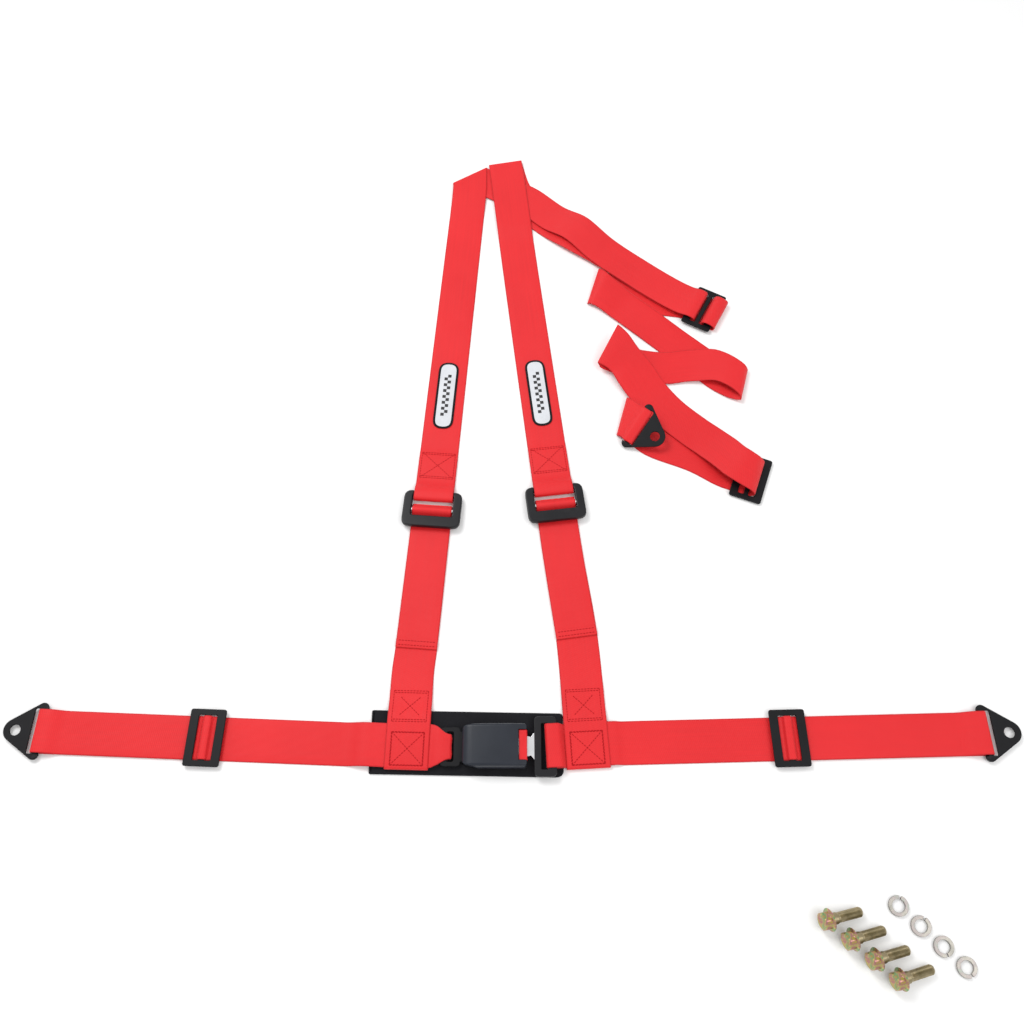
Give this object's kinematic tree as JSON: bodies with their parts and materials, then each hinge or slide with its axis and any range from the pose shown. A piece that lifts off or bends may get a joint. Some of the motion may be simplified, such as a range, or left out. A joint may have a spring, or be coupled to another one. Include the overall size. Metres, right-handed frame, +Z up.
{
  "type": "racing harness",
  "caption": "Four-point racing harness laid flat: lap strap with push-button buckle, shoulder straps with adjusters, folded rear strap, slides, anchor tabs, bolts and washers.",
  "frame": {"origin": "on the floor the harness lies on, under the middle of the buckle casing's length and 3.5 mm above the casing's middle line in Y; X = 0 is between the casing's two ends", "axes": "+Z up from the floor; +X along the lap strap from the buckle casing towards the tongue; +Y from the lap strap towards the shoulders"},
  "size_m": [1.1707, 1.133, 0.0305],
  "materials": {
    "red_webbing": "woven polyester webbing, satin",
    "black_pad": "matt woven pad",
    "coated_steel": "dark satin coating on pressed steel",
    "casing_plastic": "dark blue-grey moulded plastic, semi-gloss",
    "bright_steel": "bright plated",
    "spring_steel": "plain drawn wire",
    "gold_zinc": "yellow passivated zinc, slightly iridescent",
    "grey_zinc": "grey zinc",
    "button_plastic": "red moulded plastic",
    "label_cloth": "woven silver-white label"
  },
  "bodies": {
    "harness": {"left_lap_webbing": "red_webbing", "left_shoulder_lower_webbing": "red_webbing", "left_shoulder_upper_webbing": "red_webbing", "right_shoulder_upper_webbing": "red_webbing", "left_label": "label_cloth", "right_label": "label_cloth", "rear_webbing": "red_webbing", "rear_webbing_end": "red_webbing", "rear_join_slider": "coated_steel", "buckle_bottom_cover": "casing_plastic", "buckle_top_cover": "casing_plastic", "buckle_frame": "coated_steel", "latch_pin": "spring_steel", "ejector_spring": "spring_steel", "front_button_spring": "spring_steel", "back_button_spring": "spring_steel", "buckle_pad": "black_pad", "buckle_screw_1": "spring_steel", "buckle_screw_2": "spring_steel", "buckle_screw_3": "spring_steel", "buckle_screw_4": "spring_steel"},
    "tongue_side": {"tongue_plate": "bright_steel", "tongue_grip": "casing_plastic", "right_lap_webbing": "red_webbing", "right_shoulder_lower_webbing": "red_webbing"},
    "ejector_block": {"ejector": "casing_plastic"},
    "button": {"release_button": "button_plastic"},
    "latch_arm": {"latch": "bright_steel"},
    "left_slide": {"left_lap_slider": "coated_steel", "left_slider_bight": "red_webbing"},
    "right_slide": {"right_lap_slider": "coated_steel", "right_slider_bight": "red_webbing"},
    "left_tab": {"left_lap_tab": "coated_steel"},
    "right_tab": {"right_lap_tab": "coated_steel"},
    "rear_anchor": {"rear_tab": "coated_steel"},
    "left_adjuster": {"left_adjuster_frame": "casing_plastic"},
    "right_adjuster": {"right_adjuster_frame": "casing_plastic"},
    "left_grip_bar": {"left_adjuster_bar": "bright_steel", "left_adjuster_bight": "red_webbing"},
    "right_grip_bar": {"right_adjuster_bar": "bright_steel", "right_adjuster_bight": "red_webbing"},
    "rear_slide": {"rear_adjust_slider": "coated_steel", "rear_slider_bight": "red_webbing"},
    "bolt_1": {"anchor_bolt_1": "gold_zinc"},
    "bolt_2": {"anchor_bolt_2": "gold_zinc"},
    "bolt_3": {"anchor_bolt_3": "gold_zinc"},
    "bolt_4": {"anchor_bolt_4": "gold_zinc"},
    "washer_1": {"spring_washer_1": "grey_zinc"},
    "washer_2": {"spring_washer_2": "grey_zinc"},
    "washer_3": {"spring_washer_3": "grey_zinc"},
    "washer_4": {"spring_washer_4": "grey_zinc"}
  },
  "joints": [
    {"name": "tongue_release", "type": "slide", "parent": "harness", "child": "tongue_side", "axis": [1, 0, 0], "range_m": [0, 0.06], "deforming": ["latch"]},
    {"name": "ejector_push", "type": "slide", "parent": "harness", "child": "ejector_block", "axis": [1, 0, 0], "range_m": [0, 0.008]},
    {"name": "button_press", "type": "slide", "parent": "harness", "child": "button", "axis": [-1, 0, 0], "range_m": [0, 0.0045], "deforming": ["front_button_spring", "back_button_spring"]},
    {"name": "latch_lift", "type": "hinge", "parent": "harness", "child": "latch_arm", "pos_m": [-0.018, -0.0035, 0.015], "axis": [0, -1, 0], "range_deg": [0, 14]},
    {"name": "left_slide_travel", "type": "slide", "parent": "harness", "child": "left_slide", "axis": [-0.9992, 0.04, 0], "range_m": [-0.13, 0.09]},
    {"name": "right_slide_travel", "type": "slide", "parent": "tongue_side", "child": "right_slide", "axis": [0.9997, 0.0253, 0], "range_m": [-0.15, 0.09]},
    {"name": "left_tab_tilt", "type": "hinge", "parent": "harness", "child": "left_tab", "pos_m": [-0.524, 0.015, 0.00485], "axis": [0.04, 0.9992, 0], "range_deg": [0, 110]},
    {"name": "right_tab_tilt", "type": "hinge", "parent": "tongue_side", "child": "right_tab", "pos_m": [0.5655, 0.0126, 0.00485], "axis": [0.0253, -0.9997, 0], "range_deg": [0, 110]},
    {"name": "rear_tab_tilt", "type": "hinge", "parent": "harness", "child": "rear_anchor", "pos_m": [0.1847, 0.411, 0.0154], "axis": [-0.5523, -0.7602, -0.342], "range_deg": [0, 110]},
    {"name": "left_adjuster_tilt", "type": "hinge", "parent": "harness", "child": "left_adjuster", "pos_m": [-0.07886, 0.31628, 0.00628], "axis": [-0.9973, 0.0732, 0], "range_deg": [0, 35]},
    {"name": "right_adjuster_tilt", "type": "hinge", "parent": "harness", "child": "right_adjuster", "pos_m": [0.07339, 0.32519, 0.00628], "axis": [-0.9932, -0.1167, 0], "range_deg": [0, 35]},
    {"name": "left_grip_bar_slide", "type": "slide", "parent": "left_adjuster", "child": "left_grip_bar", "axis": [0.0731, 0.9959, -0.0523], "range_m": [0, 0.002]},
    {"name": "right_grip_bar_slide", "type": "slide", "parent": "right_adjuster", "child": "right_grip_bar", "axis": [-0.1165, 0.9918, -0.0523], "range_m": [0, 0.002]},
    {"name": "rear_slide_travel", "type": "slide", "parent": "harness", "child": "rear_slide", "axis": [0.9367, -0.3502, 0], "range_m": [0, 0.03]},
    {"name": "spare_bolt_1_lift", "type": "slide", "parent": "harness", "child": "bolt_1", "axis": [0, 0, 1], "range_m": [0, 0.05]},
    {"name": "spare_bolt_2_lift", "type": "slide", "parent": "harness", "child": "bolt_2", "axis": [0, 0, 1], "range_m": [0, 0.05]},
    {"name": "spare_bolt_3_lift", "type": "slide", "parent": "harness", "child": "bolt_3", "axis": [0, 0, 1], "range_m": [0, 0.05]},
    {"name": "spare_bolt_4_lift", "type": "slide", "parent": "harness", "child": "bolt_4", "axis": [0, 0, 1], "range_m": [0, 0.05]},
    {"name": "spare_washer_1_lift", "type": "slide", "parent": "harness", "child": "washer_1", "axis": [0, 0, 1], "range_m": [0, 0.05]},
    {"name": "spare_washer_2_lift", "type": "slide", "parent": "harness", "child": "washer_2", "axis": [0, 0, 1], "range_m": [0, 0.05]},
    {"name": "spare_washer_3_lift", "type": "slide", "parent": "harness", "child": "washer_3", "axis": [0, 0, 1], "range_m": [0, 0.05]},
    {"name": "spare_washer_4_lift", "type": "slide", "parent": "harness", "child": "washer_4", "axis": [0, 0, 1], "range_m": [0, 0.05]}
  ],
  "couplings": [
    {"joint": "ejector_push", "follows": "tongue_release", "ratio": 0.13},
    {"joint": "latch_lift", "follows": "button_press", "rad_per_m": 54}
  ]
}
